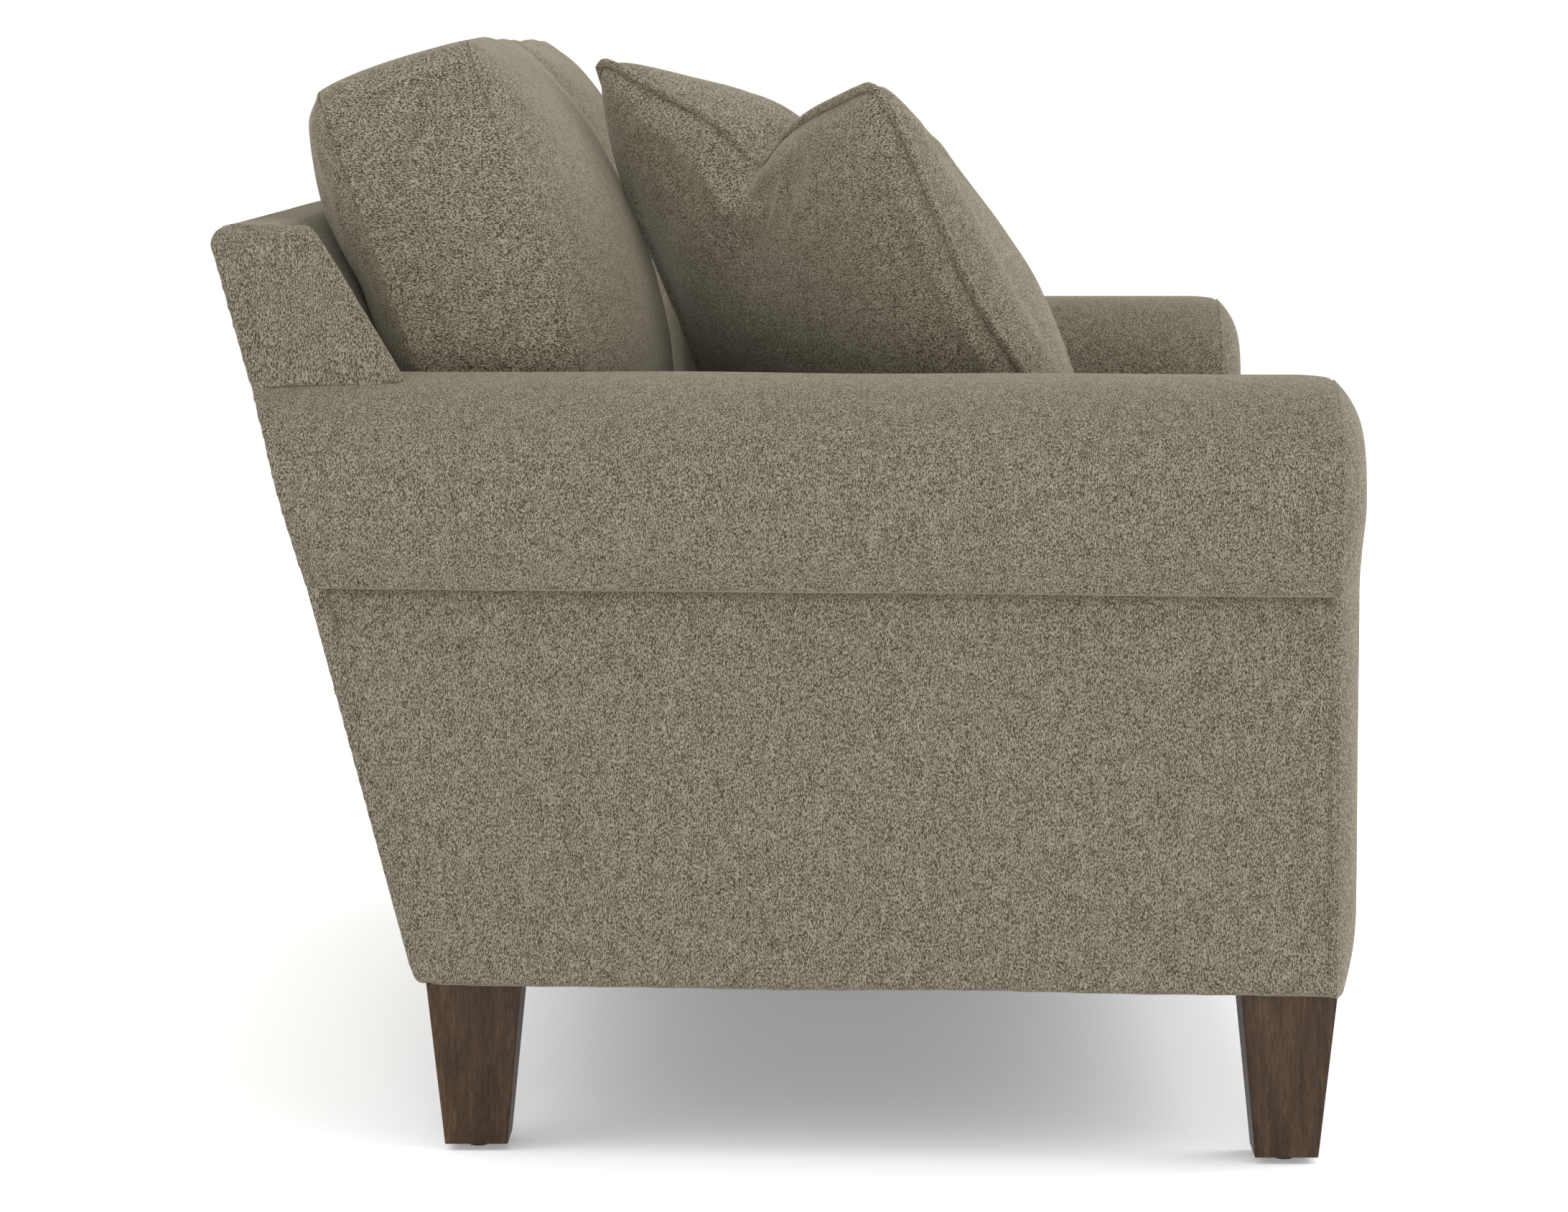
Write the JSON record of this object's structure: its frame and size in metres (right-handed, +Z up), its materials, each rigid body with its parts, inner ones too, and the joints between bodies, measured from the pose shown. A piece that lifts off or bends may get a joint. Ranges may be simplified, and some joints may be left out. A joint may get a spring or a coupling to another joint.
{
  "type": "two-seat sofa",
  "caption": "Compact two-seat sofa with rolled arms that toe in, a low raked back, loose crowned seat and back cushions, corner throw pillows and tapered square wooden legs.",
  "frame": {"origin": "on the floor under the middle of the sofa, at the centre of the footprint's bounding box", "axes": "+Z up, the sitter looks along -Y, +X to the sitter's left, which is the right arm in a view from the front"},
  "size_m": [1.412, 0.9502, 0.932],
  "materials": {
    "upholstery": "heathered chenille tweed, matte with a faint sheen",
    "leg_wood": "dark walnut stain, satin",
    "frame_wood": "unfinished hardwood and plywood",
    "glide": "matte black",
    "steel": "zinc-plated, satin",
    "webbing": "woven elastic, matte",
    "padding": "off-white fibre and foam",
    "dust_cloth": "thin black non-woven cloth"
  },
  "bodies": {
    "frame": {"leg_front_left": "leg_wood", "leg_front_right": "leg_wood", "leg_rear_left": "leg_wood", "leg_rear_right": "leg_wood", "leg_glides": "glide", "hanger_bolts": "steel", "tee_nuts": "steel", "corner_blocks": "frame_wood", "front_seat_rail": "frame_wood", "back_seat_rail": "frame_wood", "side_seat_rail_left": "frame_wood", "side_seat_rail_right": "frame_wood", "seat_centre_brace": "frame_wood", "arm_slats": "frame_wood", "back_posts": "frame_wood", "back_top_rail": "frame_wood", "back_tack_rail": "frame_wood", "back_centre_post": "frame_wood", "back_straps": "webbing", "seat_springs": "steel", "spring_clips": "steel", "spring_tie_wires": "steel", "deck_pad": "padding", "front_edge_roll": "padding", "deck_cloth": "upholstery", "front_border": "upholstery", "dust_cover": "dust_cloth", "arm_front_post_left": "frame_wood", "arm_rear_post_left": "frame_wood", "arm_board_left": "frame_wood", "outside_arm_left": "upholstery", "inside_arm_left": "upholstery", "arm_roll_left": "upholstery", "arm_front_panel_left": "upholstery", "arm_front_post_right": "frame_wood", "arm_rear_post_right": "frame_wood", "arm_board_right": "frame_wood", "outside_arm_right": "upholstery", "inside_arm_right": "upholstery", "arm_roll_right": "upholstery", "arm_front_panel_right": "upholstery", "outside_back": "upholstery", "inside_back": "upholstery", "back_end_left": "upholstery", "back_end_right": "upholstery"},
    "seat_body_left": {"seat_cushion_left": "upholstery", "seat_cushion_foam_left": "padding"},
    "back_body_left": {"back_cushion_left": "upholstery", "back_cushion_fill_left": "padding"},
    "pillow_body_left": {"pillow_left": "upholstery", "pillow_insert_left": "padding"},
    "seat_body_right": {"seat_cushion_right": "upholstery", "seat_cushion_foam_right": "padding"},
    "back_body_right": {"back_cushion_right": "upholstery", "back_cushion_fill_right": "padding"},
    "pillow_body_right": {"pillow_right": "upholstery", "pillow_insert_right": "padding"}
  },
  "joints": [
    {"name": "seat_cushion_left_lift", "type": "slide", "parent": "frame", "child": "seat_body_left", "axis": [0, 0, 1], "range_m": [0, 0.15]},
    {"name": "back_cushion_left_lift", "type": "slide", "parent": "seat_body_left", "child": "back_body_left", "axis": [0, 0, 1], "range_m": [0, 0.25]},
    {"name": "pillow_left_lift", "type": "slide", "parent": "back_body_left", "child": "pillow_body_left", "axis": [0, 0, 1], "range_m": [0, 0.25]},
    {"name": "seat_cushion_right_lift", "type": "slide", "parent": "frame", "child": "seat_body_right", "axis": [0, 0, 1], "range_m": [0, 0.15]},
    {"name": "back_cushion_right_lift", "type": "slide", "parent": "seat_body_right", "child": "back_body_right", "axis": [0, 0, 1], "range_m": [0, 0.25]},
    {"name": "pillow_right_lift", "type": "slide", "parent": "back_body_right", "child": "pillow_body_right", "axis": [0, 0, 1], "range_m": [0, 0.25]}
  ]
}
